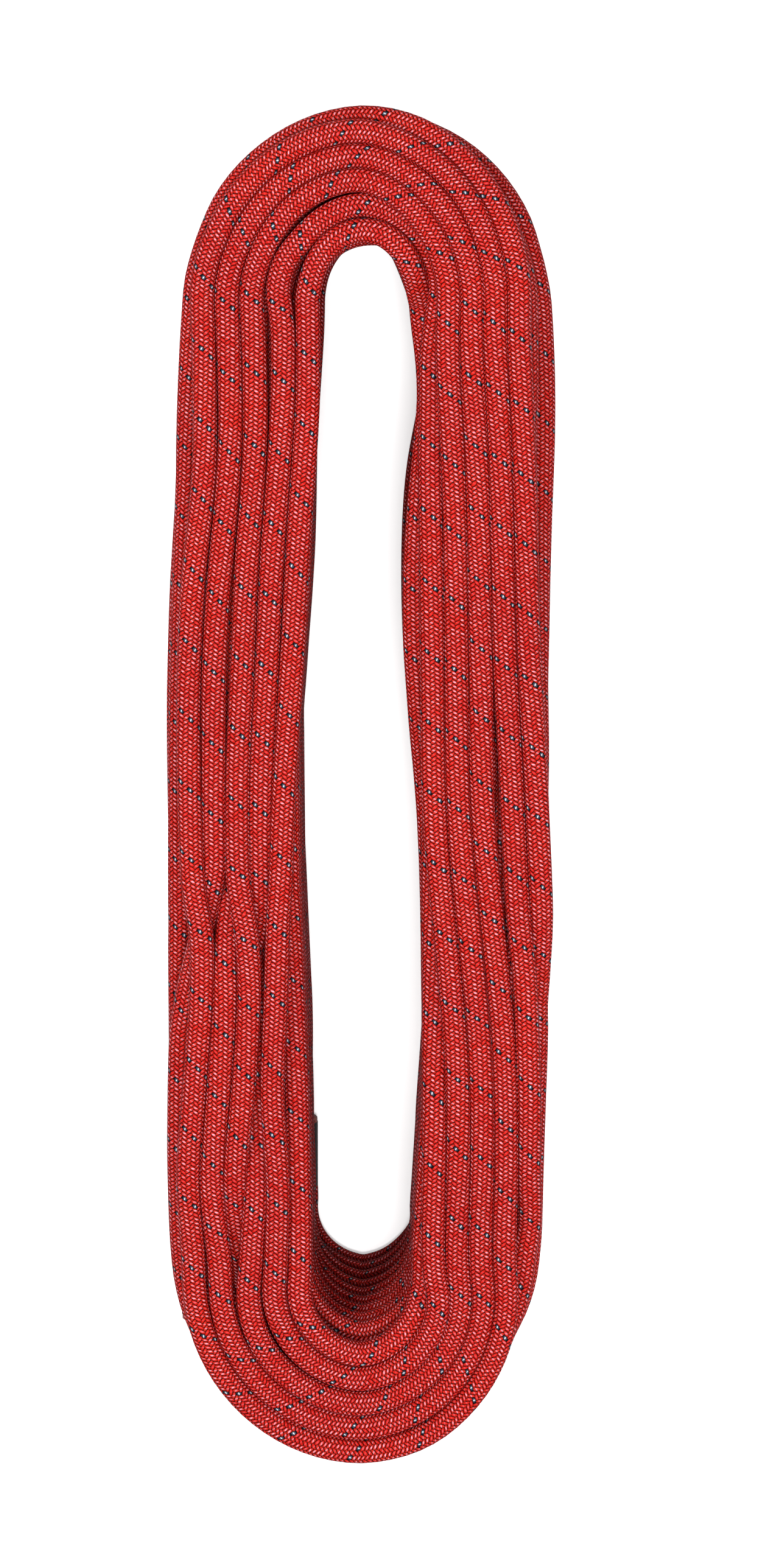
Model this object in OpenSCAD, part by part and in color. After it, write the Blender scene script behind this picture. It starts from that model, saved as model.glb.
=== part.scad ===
// Dynamic climbing rope, wound as an oval hank that lies on its back.
// Millimetres. X is the width, Y the length, Z the depth, with the back at Z = 0.
// One rope of a nominal 60 m. Its turns lie in six layers round an eye, ten levels deep. A layer's
// turns are drawn closed and joined along a narrow seam, so that each layer is one solid. The free
// outer end is drawn with all that is inside it, and lies along the left flank.

/* [Rope] */
// Rope radius
rope_r = 4.9; // [4.2:0.05:5.5]
// Sheath wall
sheath_wall = 0.85; // [0.6:0.05:1.2]
// Radius of one core strand
strand_r = 1.3; // [0.8:0.05:1.35]
// Distance from the rope's middle to the outer core strands
strand_orbit = 2.7; // [2.65:0.05:2.8]
// Width of the identification tape
tape_w = 1.4; // [0.8:0.1:1.6]
// Thickness of the identification tape
tape_t = 0.3; // [0.1:0.05:0.35]
// Distance from the rope's middle to the tape
tape_orbit = 3.75; // [3.7:0.01:3.8]

/* [Hank] */
// Distance from the hank's middle to the innermost layer's rope
first_x = 24.1; // [20:0.1:60]
// Distance from one layer to the next
layer_step = 9.9; // [9.9:0.1:12]
// Distance from one level to the next
level_step = 10.4; // [10.4:0.1:12]
// Levels of a full layer
levels = 10; // [4:1:12]
// Half length of the straight legs
half_leg = 194; // [194:0.5:260]
// Width of the seam that joins the turns of a layer
seam_w = 6; // [3:0.5:7]

/* [Ends] */
// Where the rope's inner end is, on the left leg at the back
inner_end_y = -160; // [-170:1:-150]
// Length of the free space in front of the inner end
inner_space = 16; // [10:1:30]
// Where the last turn comes down to the back, on the left leg
last_run_y = 110; // [60:1:150]
// Where the free tail's bend starts
tail_root_y = -40; // [-60:1:-30]
// Where the free tail ends
tail_end_y = -244; // [-250:1:-240]
// Length of an end sleeve
sleeve_len = 28; // [15:1:30]
// Radius of an end sleeve, which presses the rope in
sleeve_r = 4.7; // [4.66:0.01:4.72]
// Wall of an end sleeve
sleeve_wall = 0.18; // [0.15:0.01:0.2]
// Length of a fused tip
tip_len = 2.4; // [1:0.1:4]
// Radius of a fused tip
tip_r = 4.5; // [4.4:0.01:4.5]

/* [Hidden] */
$fn = 48;
bore_r = rope_r - sheath_wall;
pressed_r = sleeve_r - sleeve_wall - 0.02;
gap = 0.05;
core_r = bore_r - gap;
root_gap = 0.1;
close_wall = 1;
tail_len = tail_root_y - root_gap - tail_end_y;

function layer_x(k) = first_x + (k - 1) * layer_step;
function level_z(j) = rope_r + (j - 1) * level_step;

// Profiles in the layer's section: first axis outward from the eye, second axis up from the back.
module turn_circles(low, high, r) {
  for (j = [low : high]) translate([0, level_z(j)]) circle(r);
}

module seam(low, high) {
  translate([-seam_w / 2, level_z(low)]) square([seam_w, (high - low) * level_step]);
}

module sheath_section(low, high, bored_from) {
  difference() {
    union() {
      turn_circles(low, high, rope_r);
      seam(low, high);
    }
    turn_circles(bored_from, high, bore_r);
  }
}

// Pieces in the rope's own frame: X outward from the eye, Y the way the rope goes, Z up.
module straight(len) {
  translate([0, len, 0]) rotate([90, 0, 0]) linear_extrude(len) children();
}

module half_bend(r) {
  translate([-r, 0, 0]) rotate_extrude(angle = 180) translate([r, 0]) children();
}

// The rope goes down the left leg (side -1) and up the right leg (side 1).
module on_leg(side, k, y) {
  translate([side * layer_x(k), y, 0]) rotate([0, 0, 90 - 90 * side]) children();
}

// From y on the left leg, once round the bottom, the right leg and the top, to half_leg.
module round_from(k, y) {
  on_leg(-1, k, y) straight(y + half_leg) children();
  on_leg(-1, k, -half_leg) half_bend(layer_x(k)) children();
  on_leg(1, k, -half_leg) straight(2 * half_leg) children();
  on_leg(1, k, half_leg) half_bend(layer_x(k)) children();
}

// The ring that a sleeve presses in, with a little over its ends.
module pressed_ring() {
  translate([0, -1, rope_r]) straight(sleeve_len + 1 + gap) difference() {
    circle(rope_r + 0.5);
    circle(pressed_r);
  }
}

module sleeve() {
  translate([0, 0, rope_r]) straight(sleeve_len) difference() {
    circle(sleeve_r);
    circle(sleeve_r - sleeve_wall);
  }
}

module fused_tip() {
  translate([0, 0, rope_r]) rotate([90, 0, 0]) {
    cylinder(h = tip_len - 0.6, r = tip_r);
    translate([0, 0, tip_len - 0.6]) cylinder(h = 0.6, r1 = tip_r, r2 = tip_r - 0.6);
  }
}

module sheath_layer(k) {
  color("#c42724") round_from(k, half_leg) sheath_section(1, levels, 1);
}

// The first layer's lowest turn is open at the inner end, with free space in front of it.
module first_sheath_layer() {
  color("#c42724") difference() {
    round_from(1, half_leg) sheath_section(1, levels, 2);
    first_turn(inner_end_y + 1, inner_end_y + inner_space + close_wall) turn_circles(1, 1, bore_r);
    on_leg(-1, 1, inner_end_y + inner_space)
      translate([-rope_r - 1, 0, -1]) cube([2 * rope_r + 2, inner_space, level_step + 0.6]);
    on_leg(-1, 1, inner_end_y + gap) pressed_ring();
  }
}

module first_turn(from, to) {
  round_from(1, from) children();
  on_leg(-1, 1, half_leg) straight(half_leg - to) children();
}

// The sixth layer has no turn at the back, only the run that ends in the free tail.
module last_sheath_layer() {
  color("#c42724") {
    round_from(6, half_leg) sheath_section(2, levels, 2);
    difference() {
      on_leg(-1, 6, last_run_y) straight(last_run_y - tail_root_y) union() {
        turn_circles(1, 1, rope_r);
        translate([-seam_w / 2, rope_r]) square([seam_w, level_step - 4.4]);
      }
      on_leg(-1, 6, last_run_y - close_wall) straight(last_run_y - tail_root_y) turn_circles(1, 1, bore_r);
    }
  }
}

module core_layer(k) {
  color("#f2efe6") round_from(k, half_leg) turn_circles(1, levels, core_r);
}

module first_core_layer() {
  color("#f2efe6") {
    round_from(1, half_leg) turn_circles(2, levels, core_r);
    first_turn(inner_end_y - gap, inner_end_y + inner_space + close_wall + gap) turn_circles(1, 1, core_r);
  }
}

module last_core_layer() {
  color("#f2efe6") {
    round_from(6, half_leg) turn_circles(2, levels, core_r);
    on_leg(-1, 6, last_run_y - close_wall - gap)
      straight(last_run_y - close_wall - gap - tail_root_y) turn_circles(1, 1, core_r);
  }
}

module inner_end_sleeve() {
  color("#1d1d20") on_leg(-1, 1, inner_end_y) sleeve();
}

module inner_fused_tip() {
  color("#7c1512") on_leg(-1, 1, inner_end_y + gap) fused_tip();
}

module tail_sheath() {
  color("#c42724") difference() {
    on_leg(-1, 6, tail_root_y - root_gap) straight(tail_len) difference() {
      turn_circles(1, 1, rope_r);
      turn_circles(1, 1, bore_r);
    }
    on_leg(-1, 6, tail_end_y) rotate([0, 0, 180]) pressed_ring();
  }
}

module tail_core_strand(i) {
  orbit = i == 0 ? 0 : strand_orbit;
  color("#f2efe6") on_leg(-1, 6, tail_root_y - root_gap) straight(tail_len)
    translate([orbit * cos(60 * i), rope_r + orbit * sin(60 * i)]) circle(strand_r);
}

module tail_identification_tape() {
  color("#3f78c8") on_leg(-1, 6, tail_root_y - root_gap) straight(tail_len)
    translate([0, rope_r + tape_orbit]) square([tape_w, tape_t], center = true);
}

module tail_end_sleeve() {
  color("#1d1d20") on_leg(-1, 6, tail_end_y + sleeve_len) sleeve();
}

module tail_fused_tip() {
  color("#7c1512") on_leg(-1, 6, tail_end_y - gap) rotate([0, 0, 180]) fused_tip();
}

first_sheath_layer();  // sheath_layer_1
sheath_layer(2);  // sheath_layer_2
sheath_layer(3);  // sheath_layer_3
sheath_layer(4);  // sheath_layer_4
sheath_layer(5);  // sheath_layer_5
last_sheath_layer();  // sheath_layer_6
first_core_layer();  // core_layer_1
core_layer(2);  // core_layer_2
core_layer(3);  // core_layer_3
core_layer(4);  // core_layer_4
core_layer(5);  // core_layer_5
last_core_layer();  // core_layer_6
inner_end_sleeve();
inner_fused_tip();
tail_sheath();
tail_core_strand(0);  // tail_core_strand_middle
tail_core_strand(1);  // tail_core_strand_1
tail_core_strand(2);  // tail_core_strand_2
tail_core_strand(3);  // tail_core_strand_3
tail_core_strand(4);  // tail_core_strand_4
tail_core_strand(5);  // tail_core_strand_5
tail_core_strand(6);  // tail_core_strand_6
tail_identification_tape();
tail_end_sleeve();
tail_fused_tip();
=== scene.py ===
import math

import bpy
import numpy as np
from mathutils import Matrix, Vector


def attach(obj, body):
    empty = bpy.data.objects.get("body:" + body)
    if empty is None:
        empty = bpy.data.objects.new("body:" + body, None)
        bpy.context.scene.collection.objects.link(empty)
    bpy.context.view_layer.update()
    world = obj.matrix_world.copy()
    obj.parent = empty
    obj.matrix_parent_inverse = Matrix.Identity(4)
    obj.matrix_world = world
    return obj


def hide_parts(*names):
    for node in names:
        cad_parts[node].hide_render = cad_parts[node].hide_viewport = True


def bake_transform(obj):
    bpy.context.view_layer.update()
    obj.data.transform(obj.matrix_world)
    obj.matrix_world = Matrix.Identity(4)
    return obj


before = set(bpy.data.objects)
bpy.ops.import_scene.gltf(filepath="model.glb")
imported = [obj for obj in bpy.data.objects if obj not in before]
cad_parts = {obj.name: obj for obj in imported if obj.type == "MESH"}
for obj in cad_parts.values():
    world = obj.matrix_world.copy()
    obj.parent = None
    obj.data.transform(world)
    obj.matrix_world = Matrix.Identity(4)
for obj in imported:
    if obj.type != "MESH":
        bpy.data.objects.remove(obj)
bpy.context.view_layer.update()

MM = 0.001
# Height of the front turns' middle line, in mm.
FRONT = 98.5

# ---------------------------------------------------------------- camera, in metres
CAMERA_AT = Vector((0.0076, 0.2190, 1.1640 + FRONT * MM))
CAMERA_TILT = math.radians(2.92)
CAMERA_SHIFT = -0.25
CAMERA_LENS, SENSOR_WIDTH = 67.9, 36.0
NEAREST, FARTHEST = 0.05, 20


def place_camera():
    data = bpy.data.cameras.new("camera")
    data.lens, data.sensor_width = CAMERA_LENS, SENSOR_WIDTH
    data.shift_y = CAMERA_SHIFT
    data.clip_start, data.clip_end = NEAREST, FARTHEST
    camera = bpy.data.objects.new("camera", data)
    camera.location = CAMERA_AT
    camera.rotation_euler = (-CAMERA_TILT, 0, 0)
    bpy.context.collection.objects.link(camera)
    bpy.context.scene.camera = camera


place_camera()

# ---------------------------------------------------------------- how the rope is wound, in mm
# A lap is cut into stations: down the left leg, round the bottom bend, up the right leg and round
# the top bend. At each station a turn has a distance from the hank's middle line and a height. The
# stations of all laps in a row are the chain, and a chain place is a number along it.
HALF_LEG, STATION, LEG, BEND = 194.0, 9.7, 40, 20
BEND_STEP = 180 // BEND
RIGHT_LEG, TOP_BEND = LEG + BEND, 2 * LEG + BEND
LAP = 2 * (LEG + BEND)
TURNS = 57
ROPE_R = 4.9
LEVEL_STEP = 10.4

# The two ends. The tail leaves the hank on the left leg, and is straight from TAIL_HELD_Y on.
INNER_END_X, INNER_END_Y = 24.1, -160.0
TAIL_TURN, TAIL_X = 56, 73.6
TAIL_START_Y, TAIL_HELD_Y, TAIL_BLEND_TO_Y, TAIL_END_Y = -10.0, -30.0, -70.0, -244.0
TAIL_STEP = 4.5
# The rope's first and last place in the chain.
START, STOP = 37, TAIL_TURN * LAP + 43

# The first turn of each column, from the eye outward. The rope climbs in one column and comes down
# in the next, and lies looser in the outermost one.
COLUMN_STARTS = (0, 10, 20, 29, 39, 48)
OUTER_COLUMN = 5
OUTER_LEVEL, OUTER_LEVEL_AT, OUTER_LEVEL_STEP = 8.2, 50, 1.2
LAST_FULL_TURN, LAST_FOOT = 54, 1.9
# Turns whose level on the left leg is their own: at its middle and at its foot.
OWN_LEVELS = {10: (10, 9.2), 29: (10, 9), 30: (9, 10), 31: (10, 8), 48: (10, 10), 49: (10, 9), 56: (1, 1)}
# Where on the left leg a turn starts to change its level, and the length that it takes.
HEAD_Y, FOOT_Y, LEVEL_RUN = 150, -70, 72.8
# Turns that move out to the next column. On the left leg: the column that they leave, how many
# columns they move and the height where they start. On the right leg: the station, and how many
# stations it takes.
LEFT_CROSSINGS = {10: (0, 1, 40), 29: (2, 1, -20), 48: (4, 0.5, 40)}
LEFT_RUN = 69.3
RIGHT_CROSSINGS, RIGHT_AT, RIGHT_RUN = (19, 38), 76.4, 7.2
# Where one layer ends and the next begins: the turn, the height, and the leg.
LAYER_ENDS = ((10, 40, -1), (19, -35, 1), (29, -20, -1), (38, -35, 1), (48, 40, -1))

# The turns that lie on the front, by number. L and R are heights on the left and right leg, B and T
# are degrees along the bottom and the top bend. Then the distance from the middle line, and the
# height where it isn't the front's own.
LANES = {
    9: [("B", 0, 24.3, 96), ("B", 35, 28), ("B", 90, 33), ("B", 145, 28, 96), ("R", -190, 25, 92),
        ("R", -150, 27.5, 89), ("R", -126, 29.5, 88.5), ("R", -95, 29.5, 83.3), ("R", -67, 29, 80.8),
        ("R", -40, 28.5, 79), ("R", -10, 27.5, 78.9), ("R", 10, 26, 80.4), ("R", 22, 24.6, 83),
        ("R", 35, 23.2, 86), ("R", 58, 21.2, 88.5), ("R", 90, 21.1, 89), ("R", 116, 23, 90),
        ("R", 136, 25.4, 85), ("R", 157, 28, 81.3), ("R", 175, 26.6, 81.3), ("R", 190, 24.3, 83),
        ("T", 20, 23.2, 89), ("T", 36, 24, 93), ("T", 54, 26.9, 96.5), ("T", 72, 29.2), ("T", 90, 29.8),
        ("T", 108, 28.1), ("T", 126, 25.3), ("T", 144, 22.7), ("T", 162, 21)],
    10: [("L", 183, 21), ("L", 156, 21), ("L", 128, 23), ("L", 99, 25), ("L", 58, 27), ("L", 37, 29),
         ("L", 16, 31), ("L", -6, 33), ("L", -39, 33), ("L", -86, 34), ("L", -119, 36), ("L", -145, 35),
         ("L", -190, 34), ("B", 35, 38), ("B", 90, 42.8), ("B", 145, 35), ("R", -190, 28),
         ("R", -160, 29), ("R", -126, 29.6, 98), ("R", -110, 29.5, 95.5), ("R", -95, 29.5, 93),
         ("R", -67, 29.2, 90.6), ("R", -48, 29, 89.4), ("R", -13, 28.5, 88.8), ("R", 10, 31, 88.8),
         ("R", 35, 32.5, 88.7), ("R", 60, 33, 88.7)],
    28: [("L", -120, 42, 91), ("L", -149, 42.4, 97), ("L", -171, 43.4), ("L", -190, 44), ("B", 35, 49),
         ("B", 90, 53), ("B", 145, 45), ("R", -190, 37.5), ("R", -160, 39), ("R", -126, 39.2),
         ("R", -95, 37.5), ("R", -67, 35), ("R", -48, 33), ("R", -27, 30.4), ("R", 2, 29),
         ("R", 70, 28.5), ("R", 120, 27.8), ("R", 138, 27.8, 94.5), ("R", 157, 28, 91),
         ("R", 175, 27.3, 91.3), ("R", 190, 30, 90.3), ("T", 20, 33, 89), ("T", 40, 34.3, 89.5),
         ("T", 60, 37, 90), ("T", 75, 38.9, 93), ("T", 90, 40.2, 98), ("T", 140, 33.2)],
    29: [("L", 190, 30), ("L", 156, 30.4), ("L", 128, 32.3), ("L", 99, 35), ("L", 58, 37),
         ("L", 8, 39.7), ("L", -20, 41), ("L", -40, 41, 97), ("L", -62, 41, 90)],
    30: [("L", -30, 52, 89), ("L", -50, 53, 96), ("L", -71, 53.5), ("L", -86, 53.7), ("L", -100, 55.5),
         ("L", -134, 58), ("L", -155, 59.5), ("L", -175, 58.6), ("L", -190, 55.4), ("B", 35, 59),
         ("B", 90, 63), ("B", 145, 54), ("R", -190, 47), ("R", -160, 48.3), ("R", -126, 48.5),
         ("R", -99, 47.3), ("R", -67, 44), ("R", -27, 40), ("R", 2, 38), ("R", 74, 37.7),
         ("R", 124, 37), ("R", 149, 36), ("R", 174, 34), ("T", 38, 38), ("T", 60, 42), ("T", 90, 50.8),
         ("T", 150, 45)],
    31: [("L", 187, 42.4), ("L", 144, 41.4), ("L", 111, 43.4), ("L", 97, 45), ("L", 61, 46.6),
         ("L", 12, 47.8), ("L", -35, 48), ("L", -47, 46.8), ("L", -60, 45.6), ("L", -80, 44.8),
         ("L", -119, 46.8), ("L", -149, 49.5), ("L", -165, 50, 97), ("L", -185, 51, 91)],
    47: [("R", -175, 69, 89), ("R", -155, 66.5, 96), ("R", -126, 66.2), ("R", -88, 65.7),
         ("R", -66, 65), ("R", -27, 61.7), ("R", -2, 60), ("R", 38, 58), ("R", 81, 56),
         ("R", 144, 54.4), ("R", 190, 52), ("T", 25, 54), ("T", 90, 69), ("T", 155, 62)],
    48: [("L", 190, 62), ("L", 128, 61.3), ("L", 111, 63.5), ("L", 88, 66.4), ("L", 50, 68.4),
         ("L", 12, 68.6), ("L", -24, 66.4), ("L", -47, 63.5), ("L", -60, 62.5), ("L", -86, 63.5),
         ("L", -119, 66.6), ("L", -155, 69.5), ("L", -190, 66.5), ("B", 35, 68), ("B", 63, 70),
         ("B", 90, 71.6), ("B", 112, 70.6), ("B", 145, 61.5), ("R", -190, 55.5), ("R", -144, 57.6),
         ("R", -123, 57.6), ("R", -95, 56), ("R", -63, 52.4), ("R", -20, 48.3), ("R", 2, 46.8),
         ("R", 105, 46.8), ("R", 149, 45), ("R", 190, 43), ("T", 30, 45.6), ("T", 60, 51.6),
         ("T", 90, 59.8), ("T", 152, 53)],
    49: [("L", 190, 52.4), ("L", 146, 51), ("L", 112, 53.4), ("L", 78, 57), ("L", 44, 58.6),
         ("L", -35, 58.3), ("L", -47, 60.3, 94), ("L", -62, 64.7, 89), ("L", -77, 69.1, 88),
         ("L", -96, 72.8, 90), ("L", -150, 73.5, 89), ("R", -80, 70.5, 88), ("R", -60, 70.6, 95),
         ("R", -48, 70.4), ("R", -2, 69.3), ("R", 16, 68.6), ("R", 59, 65.2), ("R", 131, 63.5),
         ("R", 190, 60.5), ("T", 22, 62, 98), ("T", 60, 71, 92), ("T", 75, 74, 90), ("T", 90, 74.5, 89),
         ("T", 108, 72, 89), ("T", 126, 69.5, 89.5), ("T", 150, 66.8, 90)],
}
# Points of a lane that are further apart than this many stations aren't joined.
LANE_GAP = 22

# How near the middle line and how far from it the turns may lie, by station.
INNER_WALL = [(0, 20), (6, 24), (11, 25), (18, 30), (24, 29.5), (30, 27), (33, 25), (36, 25.5), (40, 24),
              (50, 29.5), (60, 25), (64, 27.5), (69, 31), (74, 31), (80, 28.5), (84, 22), (88, 20.5),
              (92, 22), (96, 29.5), (98, 28), (101, 23), (104, 23.5), (107.5, 29.5), (113, 26),
              (118, 18.5), (120, 20)]
OUTER_WALL = [(0, 66), (4, 69), (7, 69), (11, 72), (17, 74), (26, 73), (31, 75.5), (34, 73.5), (37, 74),
              (41, 71), (45, 69.5), (48, 70), (52, 73), (57, 64), (61, 67.5), (70, 70), (75, 68), (79, 71),
              (84, 70), (91, 71.5), (95.5, 76.5), (98, 74.5), (101.5, 69), (104, 72), (107.5, 79),
              (111, 73.5), (117.5, 65), (120, 66)]

# Where turn 28 comes in over the first column near the top bend, that column sits lower.
DIP, DIP_STATIONS, DIPPED_TURNS = 0.19, (89, 95, 99, 105), 9

# The hand's unevenness: the drift's size in mm, the lengths of its waves in stations, and how slowly
# those lengths change along the rope.
SEED = 7
DRIFT, DRIFT_LENGTHS, DRIFT_WARP = 0.6, (19, 31, 47, 73), 171.0

# How the rope settles. In each round a turn smooths itself, is drawn back to its place, sags, and is
# pushed away from the turns that it touches and from the walls. Turns in a lane yield less.
ROUNDS, QUICK_ROUNDS = 900, 350
SMOOTHING, EARLY_SHARE, LATE_SHARE, LATE_FROM = 0.25, 0.9, 0.5, 0.85
PULL, LANE_PULL, PULL_FADE = 0.012, (0.35, 0.25), 0.6
SAG = 0.03
LANE_YIELD = 0.25
TOUCHING, PUSH_APART = 2 * ROPE_R - 0.05, 0.62
WALL_PUSH, WALL_LEAN = 0.6, 0.03
FREE_TOP, TOP_PUSH = 98, 0.5


def leg_station(y, side):
    return (HALF_LEG - y) / STATION if side < 0 else RIGHT_LEG + (HALF_LEG + y) / STATION


def level_z(level):
    return ROPE_R + (level - 1) * LEVEL_STEP


def ease(t):
    """From 0 to 1 with a soft start and a soft end."""
    t = np.clip(t, 0, 1)
    return t * t * (3 - 2 * t)


def turn_plan():
    """Each turn's column, and its level at the lap's start, and on the left leg's middle and foot."""
    column, start, middle, foot = (np.zeros(TURNS) for _ in range(4))
    for number, (first, end) in enumerate(zip(COLUMN_STARTS, COLUMN_STARTS[1:] + (TURNS,))):
        turns = np.arange(first, end)
        column[turns] = number
        if number == OUTER_COLUMN:
            middle[turns] = OUTER_LEVEL - OUTER_LEVEL_STEP * (turns - OUTER_LEVEL_AT)
            foot[turns] = np.where(turns <= LAST_FULL_TURN, middle[turns] - 1, LAST_FOOT)
        elif number % 2:
            middle[turns] = foot[turns] = end - turns
        else:
            middle[turns] = turns - first + (number > 0)
            foot[turns] = middle[turns] + 1
    for turn, levels in OWN_LEVELS.items():
        middle[turn], foot[turn] = levels
    start[0], start[1:] = 1, foot[:-1]
    return column, start, middle, foot


def column_places(inner, outer):
    """Each turn in its column and at its level."""
    column, start, middle, foot = turn_plan()
    station = np.arange(LAP)
    left_y = HALF_LEG - STATION * station
    place = np.zeros((TURNS, LAP, 2))
    for turn in range(TURNS):
        level = start[turn] + (middle[turn] - start[turn]) * ease((HEAD_Y - left_y) / LEVEL_RUN)
        level = level + (foot[turn] - middle[turn]) * ease((FOOT_Y - left_y) / LEVEL_RUN)
        across = np.full(LAP, column[turn])
        if turn in LEFT_CROSSINGS:
            from_column, step, y = LEFT_CROSSINGS[turn]
            across = from_column + step * ease((y - left_y) / LEFT_RUN)
        if turn in RIGHT_CROSSINGS:
            across = across + ease((station - RIGHT_AT) / RIGHT_RUN)
        place[turn, :, 0] = inner + (outer - inner) * across / OUTER_COLUMN
        place[turn, :, 1] = level_z(level)
    return place


def drift():
    """Slow waves along the whole rope, sideways and up, that leave no turn quite in its place."""
    draw = np.random.default_rng(SEED)
    chain = np.arange(TURNS * LAP)
    away = np.zeros((TURNS * LAP, 2))
    for length in DRIFT_LENGTHS:
        phase, amount = draw.uniform(0, 2 * np.pi, 2), draw.uniform(0.5, 0.9, 2)
        warp = np.cumsum(1 + 0.5 * np.sin(chain / DRIFT_WARP * (1 + length / 100)))
        for axis in (0, 1):
            away[:, axis] += amount[axis] * np.sin(2 * np.pi * warp / length + phase[axis])
    return DRIFT * away.reshape(TURNS, LAP, 2)


def lane_places():
    """Where the turns on the front should lie, and for which stations that is given."""
    wanted = np.zeros((TURNS, LAP, 2))
    given = np.zeros((TURNS, LAP), bool)
    station = np.arange(LAP)
    to_station = {"L": lambda y: leg_station(y, -1), "R": lambda y: leg_station(y, 1),
                  "B": lambda a: LEG + a / BEND_STEP, "T": lambda a: TOP_BEND + a / BEND_STEP}
    for turn, points in LANES.items():
        rows = np.array([(to_station[p[0]](p[1]), p[2], p[3] if len(p) > 3 else FRONT) for p in points])
        for part in np.split(rows, np.where(np.diff(rows[:, 0]) > LANE_GAP)[0] + 1):
            here = (station >= part[0, 0] - 0.01) & (station <= part[-1, 0] + 0.01)
            for axis in (0, 1):
                wanted[turn, here, axis] = np.interp(station[here], part[:, 0], part[:, axis + 1])
            given[turn, here] = True
    return wanted, given


def hold_ends(rest):
    """Lays the inner end and the tail's start straight, and says which places stay where they are."""
    held = np.zeros((TURNS, LAP), bool)
    held[0, START:LEG + 1] = True
    rest[0, START:LEG + 1] = (INNER_END_X, ROPE_R)
    station = np.arange(LAP)
    held[TAIL_TURN] = (station >= leg_station(TAIL_HELD_Y, -1)) & (station <= STOP - TAIL_TURN * LAP)
    for i in np.where(held[TAIL_TURN])[0]:
        past_leg = math.radians(max(0, i - LEG) * BEND_STEP)
        rest[TAIL_TURN, i] = (TAIL_X / math.cos(past_leg), ROPE_R)
    return held


def touching_turns(real, held, given):
    """Which turns may touch each other, by station, and which share of a push each of the two takes."""
    yields = np.where(held | ~real, 0.0, np.where(given, LANE_YIELD, 1.0)).T
    share = yields[:, :, None] / np.maximum(yields[:, :, None] + yields[:, None, :], 1e-9)
    pair = real.T[:, :, None] & real.T[:, None, :] & ~np.eye(TURNS, dtype=bool)[None]
    return pair, share


def smoothing_move(place):
    """How far each place goes towards the two beside it along the rope."""
    line = place.reshape(-1, 2)
    move = np.zeros_like(line)
    before, here, after = line[START:STOP - 1], line[START + 1:STOP], line[START + 2:STOP + 1]
    move[START + 1:STOP] = SMOOTHING * (before + after - 2 * here)
    return move.reshape(place.shape)


def touching_move(place, pair, share):
    """How far each place is pushed by the turns that reach into it."""
    at = place.transpose(1, 0, 2)
    apart = at[:, :, None, :] - at[:, None, :, :]
    far = np.sqrt((apart ** 2).sum(-1))
    bite = np.where(pair & (far < TOUCHING), TOUCHING - far, 0.0)
    push = (bite * share * PUSH_APART / np.maximum(far, 1e-3))[..., None] * apart
    return push.sum(2).transpose(1, 0, 2)


def keep_in_walls(place, free, inner, outer):
    """Puts the free places back between the walls and under the front, and none below the ground."""
    across, up = place[..., 0], place[..., 1]
    too_near = np.maximum(inner - across, 0)
    too_far = np.maximum(across - outer - WALL_LEAN * (FRONT - up), 0)
    across += np.where(free, too_near - WALL_PUSH * too_far, 0)
    up -= np.where(free, TOP_PUSH * np.maximum(up - FREE_TOP, 0), 0)
    np.maximum(up, ROPE_R, out=up)


def wind_rope(rounds):
    """Lays the turns in their columns and lanes, and lets them settle."""
    station = np.arange(LAP)
    inner = np.interp(station, *np.array(INNER_WALL).T)
    outer = np.interp(station, *np.array(OUTER_WALL).T)
    place = column_places(inner, outer)
    place += drift()
    place[:DIPPED_TURNS, :, 1] *= 1 - DIP * ease(np.interp(station, DIP_STATIONS, (0, 1, 1, 0)))
    wanted, given = lane_places()
    place[given] = wanted[given]
    rest = place.copy()
    held = hold_ends(rest)
    place[held] = rest[held]

    real = np.zeros(TURNS * LAP, bool)
    real[START:STOP + 1] = True
    real = real.reshape(TURNS, LAP)
    free = real & ~held & ~given
    pair, share = touching_turns(real, held, given)
    pull = np.full(place.shape, PULL)
    pull[given] = LANE_PULL
    for n in range(rounds):
        late = n / rounds
        move = smoothing_move(place) * (EARLY_SHARE if late < LATE_FROM else LATE_SHARE)
        move += pull * (1 - PULL_FADE * late) * (rest - place)
        move[..., 1] -= SAG * ~given
        place = place + move * (real & ~held)[..., None]
        place = place + touching_move(place, pair, share)
        keep_in_walls(place, free, inner, outer)
        place[held] = rest[held]
    return place


def to_hank(chain_place, across, up):
    """The point in metres of a chain place, which may lie between two stations."""
    s = chain_place % LAP
    if s <= LEG:
        x, y = -across, HALF_LEG - STATION * s
    elif s <= RIGHT_LEG:
        a = math.radians(180 + BEND_STEP * (s - LEG))
        x, y = across * math.cos(a), -HALF_LEG + across * math.sin(a)
    elif s <= TOP_BEND:
        x, y = across, -HALF_LEG + STATION * (s - RIGHT_LEG)
    else:
        a = math.radians(BEND_STEP * (s - TOP_BEND))
        x, y = across * math.cos(a), HALF_LEG + across * math.sin(a)
    return (x * MM, y * MM, up * MM)


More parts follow.
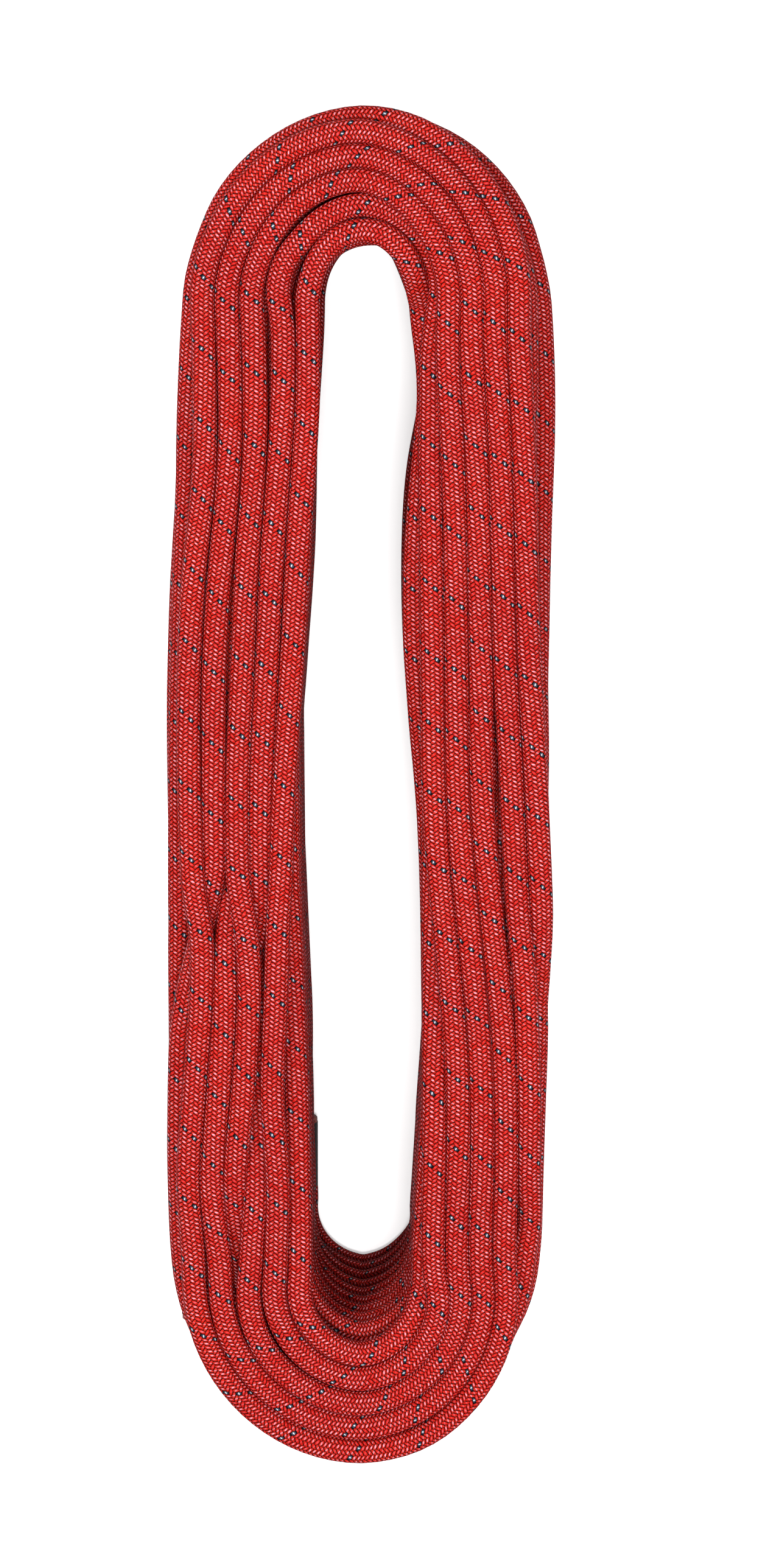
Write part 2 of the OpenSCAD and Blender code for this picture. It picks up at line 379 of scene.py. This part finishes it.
def rope_line():
    """The wound rope's middle line, the chain place of each of its points, and the tail's middle line."""
    place = wind_rope(ROUNDS).reshape(-1, 2)
    at = np.arange(START + 0.0, TAIL_TURN * LAP + leg_station(TAIL_START_Y, -1), 0.5)
    # a smooth curve through the stations, with a point in the middle between each two
    low = at.astype(int)
    t = (at - low)[:, None]
    a, b, c, d = (place[np.clip(low + k, START, STOP)] for k in (-1, 0, 1, 2))
    smooth = b + 0.5 * t * (c - a + t * (2 * a - 5 * b + 4 * c - d + t * (3 * (b - c) + d - a)))
    floor_z = ROPE_R * MM
    points = [(-INNER_END_X * MM, INNER_END_Y * MM, floor_z)]
    points += [to_hank(s, *p) for s, p in zip(at, smooth)]
    at = np.concatenate([[START - 0.5], at])
    end = np.array(points[-1])
    tail = []
    for y in np.arange(TAIL_START_Y, TAIL_END_Y - 0.01, -TAIL_STEP):
        w = float(ease((TAIL_START_Y - y) / (TAIL_START_Y - TAIL_HELD_Y)))
        tail.append((end[0] + (-TAIL_X * MM - end[0]) * w, y * MM, end[2] + (floor_z - end[2]) * w))
    return np.array(points), at, np.array(tail)


# ---------------------------------------------------------------- the rope's skin
SIDES = 24
# Length along the rope in metres in which a sheath yarn goes once round it.
PITCH = 0.028
# Waves along the rope, as height, radians by metre and phase: of its twist, and of its thickness.
TWIST_WAVES = ((0.9, 5.1, 0), (1.3, 1.9, 1), (0.6, 11.3, 2))
THICKNESS_WAVES = ((0.008, 37, 0), (0.006, 91, 1))
# From this height on, in mm, the rope's top gets squarer, as the front turns are pressed flat. A
# squareness of 2 would be round.
PRESSED_FROM, PRESSED_OVER, SQUARENESS = 80, 14, 2.7
# The sleeves press the rope in. Past a sleeve the rope gets back to its own thickness.
SLEEVE, SLEEVE_CLEAR, PRESS_EASE = 28.0, 0.2, 1.5
PRESSED_R = 4.48


def waves(run, shapes, mean=0.0):
    """The waves' sum at each point of the run, round a mean."""
    return sum((height * np.sin(run * frequency + phase) for height, frequency, phase in shapes), mean)


def skin_of(line):
    """Rings along a line: its points, two directions across it, the run up to it, angles and radii."""
    way = np.gradient(line, axis=0)
    way /= np.linalg.norm(way, axis=1)[:, None]
    side = np.cross([0.0, 0.0, 1.0], way)
    side /= np.linalg.norm(side, axis=1)[:, None]
    over = np.cross(way, side)
    run = np.concatenate([[0], np.cumsum(np.linalg.norm(np.diff(line, axis=0), axis=1))])
    twist = waves(run, TWIST_WAVES)
    angle = np.linspace(0, 2 * np.pi, SIDES, endpoint=False)[None, :] + twist[:, None]
    radius = ROPE_R * MM * waves(run, THICKNESS_WAVES, 1)[:, None]
    corners = np.abs(np.cos(angle)) ** SQUARENESS + np.abs(np.sin(angle)) ** SQUARENESS
    squared = corners ** (-1 / SQUARENESS) - 1
    on_front = ease((line[:, 2] / MM - PRESSED_FROM) / PRESSED_OVER)[:, None]
    radius = radius * (1 + squared * on_front * (np.sin(angle) > 0))
    for from_end in (run / MM, (run[-1] - run) / MM):
        past_sleeve = ease((from_end - SLEEVE - SLEEVE_CLEAR) / PRESS_EASE)[:, None]
        radius *= 1 - (1 - PRESSED_R / ROPE_R) * (1 - past_sleeve)
    return line, side, over, run, angle, radius


def tube(name, skin, cut, close_start, close_end):
    """A mesh tube on a cut of the skin, with the braid's map: round the rope, and along it in metres."""
    line, side, over, run, angle, radius = (part[cut] for part in skin)
    around = np.cos(angle)[..., None] * side[:, None, :] + np.sin(angle)[..., None] * over[:, None, :]
    points = (line[:, None, :] + radius[..., None] * around).reshape(-1, 3)
    count = len(line)
    ring, step = np.meshgrid(np.arange(count - 1), np.arange(SIDES), indexing="ij")
    after = (step + 1) % SIDES
    quads = np.stack([ring * SIDES + step, ring * SIDES + after, (ring + 1) * SIDES + after,
                      (ring + 1) * SIDES + step], -1).reshape(-1, 4)
    faces = quads.tolist()
    if close_start:
        faces.append(list(range(SIDES))[::-1])
    if close_end:
        faces.append(list(range((count - 1) * SIDES, count * SIDES)))
    mesh = bpy.data.meshes.new(name)
    mesh.from_pydata(points.tolist(), [], faces)
    along = run - math.floor(run[0] / PITCH) * PITCH
    u0, u1, v0, v1 = step / SIDES, (step + 1) / SIDES, along[ring], along[ring + 1]
    corners = [np.stack(corner, -1) for corner in ((u0, v0), (u1, v0), (u1, v1), (u0, v1))]
    on_sides = np.stack(corners, 2).reshape(-1, 2)
    braid_map = np.zeros((len(mesh.loops), 2))
    braid_map[:len(on_sides)] = on_sides
    mesh.uv_layers.new(name="braid_map").data.foreach_set("uv", braid_map.ravel())
    mesh.polygons.foreach_set("use_smooth", [True] * len(mesh.polygons))
    mesh.validate()
    mesh.update()
    piece = bpy.data.objects.new(name, mesh)
    bpy.context.collection.objects.link(piece)
    return piece


# ---------------------------------------------------------------- materials
class Tree:
    """Short hand for making and linking nodes."""

    def __init__(self, tree):
        self.tree = tree

    def node(self, kind, inputs=(), **settings):
        made = self.tree.nodes.new(kind)
        for key, value in settings.items():
            setattr(made, key, value)
        for key, value in dict(inputs).items():
            self.put(made.inputs[key], value)
        return made

    def put(self, socket, value):
        if isinstance(value, bpy.types.NodeSocket):
            self.tree.links.new(value, socket)
        else:
            socket.default_value = value

    def math(self, operation, *values):
        return self.node("ShaderNodeMath", enumerate(values), operation=operation).outputs[0]

    def vector(self, operation, *values):
        return self.node("ShaderNodeVectorMath", enumerate(values), operation=operation).outputs[0]

    def mix(self, share, first, second, blend="MIX"):
        made = self.node("ShaderNodeMix", data_type="RGBA", blend_type=blend)
        self.put(made.inputs[0], share)
        self.put(made.inputs[6], first)
        self.put(made.inputs[7], second)
        return made.outputs[2]

    def span(self, value, low, high, to_low=0.0, to_high=1.0):
        made = self.node("ShaderNodeMapRange", {0: value, 1: low, 2: high, 3: to_low, 4: to_high})
        return made.outputs[0]

    def noise(self, place, scale, detail, output="Fac"):
        made = self.node("ShaderNodeTexNoise", {"Vector": place, "Scale": scale, "Detail": detail})
        return made.outputs[output]

    def bump(self, height, strength, distance):
        made = self.node("ShaderNodeBump", {"Strength": strength, "Distance": distance, "Height": height})
        return made.outputs[0]


def rgb(*value):
    return (*value, 1.0)


FLOAT, VECTOR = "NodeSocketFloat", "NodeSocketVector"


def new_group(name, inputs, outputs):
    tree = bpy.data.node_groups.new(name, "ShaderNodeTree")
    for label, kind, value in inputs:
        socket = tree.interface.new_socket(label, in_out="INPUT", socket_type=kind)
        if value is not None:
            socket.default_value = value
    for label in outputs:
        tree.interface.new_socket(label, in_out="OUTPUT", socket_type=FLOAT)
    t = Tree(tree)
    return t, t.node("NodeGroupInput").outputs, t.node("NodeGroupOutput").inputs


# Yarns in each of the braid's two sets. A float is the stretch of a yarn that lies on top. Width and
# height are those of its ends, and the swell and the rise are what its middle has more.
YARNS = 16.0
FLOAT_WIDTH, FLOAT_SWELL, FLOAT_BLUNTNESS = 0.56, 0.46, 0.7
FLOAT_HEIGHT, FLOAT_RISE = 0.45, 0.55
# The painted highlight on each float: its half axes, and how far it leans.
PAINTED_GLINT_LENGTH, PAINTED_GLINT_WIDTH, PAINTED_GLINT_LEAN = 0.40, 0.20, 0.35


def braid_group():
    """Two sets of yarns that cross two over and two under.

    It gives the height of the yarns, where there is yarn and no gap, where the tracer yarn is, a random
    value for each float, the place across and along the float, and a painted highlight on it."""
    t, given, out = new_group("two over two braid", [("Map", VECTOR, None), ("Pitch", FLOAT, PITCH)],
                              ("Height", "Yarn", "Tracer", "Float", "Across", "Along", "Painted glint"))
    split = t.node("ShaderNodeSeparateXYZ", {0: given["Map"]}).outputs
    turns = t.math("MULTIPLY", split[0], YARNS)
    laid = t.math("MULTIPLY", t.math("DIVIDE", split[1], given["Pitch"]), YARNS)
    first, second = t.math("ADD", turns, laid), t.math("SUBTRACT", turns, laid)
    number = [t.math("FLOOR", s) for s in (first, second)]
    part = [t.math("FRACT", s) for s in (first, second)]
    both = t.math("ADD", *number)
    step = t.math("FLOORED_MODULO", both, 4.0)
    is_first = t.math("LESS_THAN", step, 1.5)
    is_second = t.math("SUBTRACT", 1.0, is_first)

    def choose(one, two):
        return t.math("ADD", t.math("MULTIPLY", is_first, one), t.math("MULTIPLY", is_second, two))

    along = t.math("MULTIPLY", choose(t.math("ADD", step, part[1]),
                                      t.math("ADD", t.math("SUBTRACT", step, 2.0), part[0])), 0.5)
    across = t.math("MULTIPLY", t.math("SUBTRACT", choose(*part), 0.5), 2.0)
    hump = t.math("SINE", t.math("MULTIPLY", along, math.pi))
    swell = t.math("MULTIPLY", t.math("POWER", hump, FLOAT_BLUNTNESS), FLOAT_SWELL)
    edge = t.math("DIVIDE", t.math("ABSOLUTE", across), t.math("ADD", swell, FLOAT_WIDTH))
    edge = t.math("MINIMUM", edge, 1.0)
    round_top = t.math("SQRT", t.math("SUBTRACT", 1.0, t.math("MULTIPLY", edge, edge)))
    rise = t.math("ADD", t.math("MULTIPLY", hump, FLOAT_RISE), FLOAT_HEIGHT)
    t.put(out["Height"], t.math("MULTIPLY", round_top, rise))
    t.put(out["Yarn"], t.span(edge, 1.0, 0.80))

    tracer = t.math("COMPARE", t.math("FLOORED_MODULO", number[0], YARNS), 0.0, 0.5)
    t.put(out["Tracer"], t.math("MULTIPLY", tracer, is_first))
    repeat = t.math("FLOOR", t.math("MULTIPLY", both, 0.25))
    code = t.node("ShaderNodeCombineXYZ", {0: choose(*number), 1: repeat, 2: is_first})
    chance = t.node("ShaderNodeTexWhiteNoise", {0: code.outputs[0]}, noise_dimensions="3D")
    t.put(out["Float"], chance.outputs["Value"])
    t.put(out["Across"], across)
    t.put(out["Along"], along)

    # the painted highlight is an oval that lies round the rope and leans the same way on both sets; it is
    # painted stronger on the first set, as painted light from one side
    half, ahead = t.math("MULTIPLY", across, 0.5), t.math("SUBTRACT", t.math("MULTIPLY", along, 2.0), 1.0)
    around = t.math("MULTIPLY", t.math("ADD", half, ahead), 0.5)
    sign = t.math("SUBTRACT", t.math("MULTIPLY", is_first, 2.0), 1.0)
    lengthwise = t.math("MULTIPLY", t.math("MULTIPLY", t.math("SUBTRACT", half, ahead), 0.5), sign)
    leaned = t.math("ADD", lengthwise, t.math("MULTIPLY", around, PAINTED_GLINT_LEAN))
    squares = [t.math("POWER", t.math("ABSOLUTE", t.math("DIVIDE", distance, size)), 2.0)
               for distance, size in ((around, PAINTED_GLINT_LENGTH), (leaned, PAINTED_GLINT_WIDTH))]
    strength = t.math("ADD", t.math("MULTIPLY", is_first, 0.35), 0.65)
    t.put(out["Painted glint"], t.math("MULTIPLY", t.span(t.math("ADD", *squares), 1.0, 0.3), strength))
    return t.tree


def fibre_group():
    """Fine filaments that run along a yarn, as a value round a half."""
    t, given, out = new_group("filaments", [(name, FLOAT, 0.0) for name in ("Across", "Along", "Seed")],
                              ("Value",))
    at = t.node("ShaderNodeCombineXYZ", {0: t.math("MULTIPLY", given["Across"], 2.6),
                                         1: t.math("MULTIPLY", given["Along"], 0.8),
                                         2: t.math("MULTIPLY", given["Seed"], 40.0)})
    noise = t.node("ShaderNodeTexNoise", {"Vector": at.outputs[0], "Scale": 1.6, "Detail": 3.0,
                                          "Roughness": 0.6})
    t.put(out["Value"], noise.outputs["Fac"])
    return t.tree


BRAID, FIBRE = braid_group(), fibre_group()


def new_material(name, roughness, **constants):
    made = bpy.data.materials.new(name)
    made.use_nodes = True
    made.node_tree.nodes.clear()
    t = Tree(made.node_tree)
    shader = t.node("ShaderNodeBsdfPrincipled", {"Roughness": roughness})
    for key, value in constants.items():
        shader.inputs[key.replace("_", " ")].default_value = value
    t.put(t.node("ShaderNodeOutputMaterial").inputs[0], shader.outputs[0])
    return made, t, shader.inputs


def braided_sheath():
    """Red polyamide yarns and one navy tracer yarn. The tracer's white slits are a painted highlight and
    its black ends painted shade; the pink on the red floats is a painted highlight, and the dark gaps
    between the yarns are painted shade.
    """
    deep_red, warm_red = rgb(0.48, 0.010, 0.006), rgb(0.55, 0.013, 0.006)
    pale_red, dark_red = rgb(0.60, 0.055, 0.035), rgb(0.34, 0.003, 0.004)
    # The pink below is a painted highlight, and the near black brown is painted shade for the gaps between
    # the yarns.
    painted_glint_pink, gap_painted_shade = rgb(0.60, 0.36, 0.45), rgb(0.060, 0.003, 0.002)
    # On the tracer, white is a painted highlight and black is painted shade; navy is the tracer yarn's own
    # colour.
    white, navy, black = rgb(0.58, 0.60, 0.63), rgb(0.040, 0.048, 0.080), rgb(0.006, 0.005, 0.006)
    made, t, shader = new_material("braided red sheath", 0.45, Specular_IOR_Level=0.04)
    place = t.node("ShaderNodeTexCoord").outputs["Object"]

    # the braid's map, swayed a little, because no yarn lies quite straight
    sway = t.vector("SUBTRACT", t.noise(place, 330.0, 1.0, "Color"), (0.5, 0.5, 0.5))
    sway = t.vector("MULTIPLY", sway, (0.024, 0.0007, 0.0))
    where = t.vector("ADD", t.node("ShaderNodeUVMap", uv_map="braid_map").outputs[0], sway)
    weave = t.node("ShaderNodeGroup", node_tree=BRAID)
    t.put(weave.inputs["Map"], where)
    w = weave.outputs
    fibre = t.node("ShaderNodeGroup", node_tree=FIBRE)
    for key, value in (("Across", w["Across"]), ("Along", w["Along"]), ("Seed", w["Float"])):
        t.put(fibre.inputs[key], value)
    strand = fibre.outputs[0]

    red = t.mix(t.span(t.noise(place, 22.0, 2.0), 0.3, 0.7), deep_red, warm_red)
    red = t.mix(t.span(w["Float"], 0.0, 1.0, 0.0, 0.35), red, pale_red)
    red = t.mix(t.span(strand, 0.4, 0.7, 0.0, 0.5), red, dark_red)
    # painted highlight: pink on the floats, brighter on some floats and filaments at random
    painted_glint = t.math("MULTIPLY", w["Painted glint"], t.span(t.math("ADD", w["Float"], strand), 0.5, 1.3, 0.05, 0.8))
    red = t.mix(painted_glint, red, painted_glint_pink)

    # each float of the tracer is navy, with a painted highlight as a white slit in its middle and painted
    # shade as black ends
    leaned = t.math("ADD", w["Along"], t.math("MULTIPLY", w["Across"], 0.10))
    middle = t.math("ABSOLUTE", t.math("SUBTRACT", leaned, 0.46))
    highlight_slit = t.math("ADD", middle, t.math("MULTIPLY", t.math("ABSOLUTE", w["Across"]), 0.10))
    highlight_slit = t.math("ADD", highlight_slit, t.math("MULTIPLY", strand, 0.12))
    tracer = t.mix(t.span(highlight_slit, 0.10, 0.22), white, navy)
    tracer = t.mix(t.span(middle, 0.27, 0.35), tracer, black)

    # painted shade: the gaps between the yarns get a near black brown, and below, each yarn is darker
    # where it lies low
    colour = t.mix(w["Yarn"], gap_painted_shade, t.mix(w["Tracer"], red, tracer))
    shade = t.span(w["Height"], 0.15, 0.80, 0.36, 1.0)
    grey = t.node("ShaderNodeCombineColor", {0: shade, 1: shade, 2: shade}).outputs[0]
    t.put(shader["Base Color"], t.mix(1.0, colour, grey, "MULTIPLY"))
    t.put(shader["Roughness"], t.span(strand, 0.2, 0.8, 0.34, 0.56))
    height = t.math("ADD", w["Height"], t.math("MULTIPLY", strand, 0.16))
    t.put(shader["Normal"], t.bump(height, 1.0, 0.0006))
    return made


def shrunk_sleeve():
    """Black sleeve that takes on a little of the braid under it."""
    black, worn_black = rgb(0.010, 0.010, 0.011), rgb(0.026, 0.026, 0.028)
    made, t, shader = new_material("shrunk black sleeve", 0.42, Specular_IOR_Level=0.4)
    place = t.node("ShaderNodeTexCoord").outputs["Object"]
    pores = t.noise(place, 1400.0, 3.0)
    lumps = t.node("ShaderNodeTexVoronoi", {"Vector": place, "Scale": 520.0}, feature="SMOOTH_F1")
    t.put(shader["Base Color"], t.mix(pores, black, worn_black))
    t.put(shader["Roughness"], t.span(pores, 0.3, 0.7, 0.34, 0.52))
    height = t.math("ADD", t.math("MULTIPLY", lumps.outputs["Distance"], -0.8),
                    t.math("MULTIPLY", pores, 0.15))
    t.put(shader["Normal"], t.bump(height, 0.7, 0.0003))
    return made


def melted_end():
    """Yarn and core melted together: dark and glassy, with paler blots and small dark bubbles."""
    dark_melt, pale_melt, bubble = rgb(0.16, 0.012, 0.010), rgb(0.36, 0.10, 0.07), rgb(0.05, 0.01, 0.01)
    made, t, shader = new_material("melted rope end", 0.3, Specular_IOR_Level=0.55, Coat_Weight=0.25)
    place = t.node("ShaderNodeTexCoord").outputs["Object"]
    blots = t.noise(place, 480.0, 4.0)
    bubbles = t.node("ShaderNodeTexVoronoi", {"Vector": place, "Scale": 900.0}).outputs["Distance"]
    melt = t.mix(t.span(blots, 0.35, 0.65), dark_melt, pale_melt)
    t.put(shader["Base Color"], t.mix(t.span(bubbles, 0.0, 0.25, 0.6, 0.0), melt, bubble))
    t.put(shader["Roughness"], t.span(blots, 0.3, 0.7, 0.22, 0.5))
    t.put(shader["Normal"], t.bump(blots, 0.6, 0.0004))
    return made


SHEATH_LOOK, SLEEVE_LOOK, TIP_LOOK = braided_sheath(), shrunk_sleeve(), melted_end()


def dress(piece, material):
    piece.data.materials.clear()
    piece.data.materials.append(material)


# ---------------------------------------------------------------- the rope, laid by layer
def lay_rope():
    """Cuts the wound rope into its six layers and its free tail, each a piece of its own."""
    line, chain_at, tail_line = rope_line()
    whole = np.vstack([line, tail_line])
    skin = skin_of(whole)
    run = skin[3]
    cuts = [turn * LAP + leg_station(y, side) for turn, y, side in LAYER_ENDS]
    ends = [0] + [int(np.searchsorted(chain_at, cut)) for cut in cuts] + [len(line), len(whole) - 1]
    lengths = []
    for number, (a, b) in enumerate(zip(ends[:-1], ends[1:]), 1):
        in_tail = number == len(ends) - 1
        name = "rope_free_tail" if in_tail else f"rope_layer_{number}"
        cut = slice(a, b + 1)
        piece = tube(name, skin, cut, number == 1, in_tail)
        dress(piece, SHEATH_LOOK)
        lengths.append((name, run[b] - run[a]))
        if in_tail:
            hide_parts("tail_sheath", "tail_core_strand_middle", "tail_identification_tape",
                        *(f"tail_core_strand_{k}" for k in range(1, 7)))
            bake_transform(piece)
        else:
            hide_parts(f"sheath_layer_{number}", f"core_layer_{number}")
            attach(piece, "winding")
    lengths.append(("whole", run[-1]))
    print("rope lengths", [(name, round(float(length), 3)) for name, length in lengths])


def dress_ends():
    for node in ("inner_end_sleeve", "tail_end_sleeve"):
        dress(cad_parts[node], SLEEVE_LOOK)
    for node in ("inner_fused_tip", "tail_fused_tip"):
        dress(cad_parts[node], TIP_LOOK)


lay_rope()
dress_ends()

# ---------------------------------------------------------------- floor and light
FLOOR_SIZE = 6
# The floor's grey for the camera and for all other light, and its glow for the camera.
FLOOR_SEEN, FLOOR_FELT, FLOOR_GLOW = 0.74, 0.34, 0.5
LIGHTS_AIM = (0, 0, 0.05)
DAYLIGHT = 0.4


def pale_floor():
    """A floor that looks white and bright, and throws little of that light back on the rope."""
    bpy.ops.mesh.primitive_plane_add(size=FLOOR_SIZE, location=(0, 0, 0))
    floor = bpy.context.object
    floor.name = "floor"
    made, t, shader = new_material("pale floor", 0.7, Specular_IOR_Level=0.2)
    seen = t.node("ShaderNodeLightPath").outputs["Is Camera Ray"]
    t.put(shader["Base Color"], t.mix(seen, rgb(*[FLOOR_FELT] * 3), rgb(*[FLOOR_SEEN] * 3)))
    t.put(shader["Emission Strength"], t.math("MULTIPLY", seen, FLOOR_GLOW))
    shader["Emission Color"].default_value = rgb(1, 1, 1)
    dress(floor, made)


def area_light(name, at, size, power):
    data = bpy.data.lights.new(name, "AREA")
    data.shape, data.size, data.energy = "DISK", size, power
    lamp = bpy.data.objects.new(name, data)
    lamp.location = at
    lamp.rotation_euler = (Vector(LIGHTS_AIM) - Vector(at)).to_track_quat("-Z", "Y").to_euler()
    bpy.context.collection.objects.link(lamp)


def studio_world():
    world = bpy.data.worlds.new("studio")
    world.use_nodes = True
    background = world.node_tree.nodes["Background"].inputs
    background[0].default_value = rgb(1, 1, 1)
    background[1].default_value = DAYLIGHT
    bpy.context.scene.world = world
    bpy.context.scene.view_settings.view_transform = "Standard"


pale_floor()
area_light("key", at=(-0.9, 0.8, 1.5), size=0.6, power=21)
area_light("overhead", at=(0.05, -0.1, 2.0), size=0.45, power=32)
area_light("fill", at=(1.3, -0.6, 1.2), size=1.2, power=13)
studio_world()
